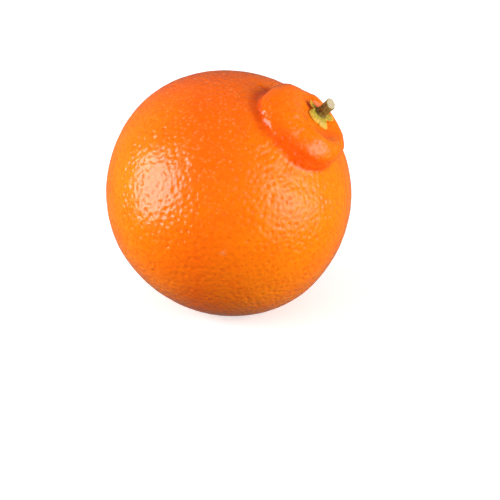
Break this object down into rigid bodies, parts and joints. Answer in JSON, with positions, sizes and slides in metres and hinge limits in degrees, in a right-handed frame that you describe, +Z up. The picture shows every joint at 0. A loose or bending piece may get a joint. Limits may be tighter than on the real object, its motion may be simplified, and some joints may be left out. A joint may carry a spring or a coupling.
{
  "type": "tangelo",
  "caption": "Whole tangelo, a round orange citrus fruit with a lobed neck, a dried calyx and a short cut stem, lying on its small flat spot.",
  "frame": {"origin": "middle of the small flat spot the fruit rests on, under the fruit's centre", "axes": "+Z up, away from the surface it rests on; -Y is the side that shows the neck from the front; the stem leans 41 degrees from +Z, mostly towards +X"},
  "size_m": [0.0798, 0.0796, 0.0796],
  "materials": {
    "rind": "waxy glossy citrus rind with fine oil-gland pits",
    "calyx": "dry, matt, yellow-green to ochre",
    "stem_bark": "matt brown-green bark with a pale cut end"
  },
  "bodies": {
    "root": {"fruit": "rind", "calyx": "calyx", "stem": "stem_bark"}
  },
  "joints": []
}
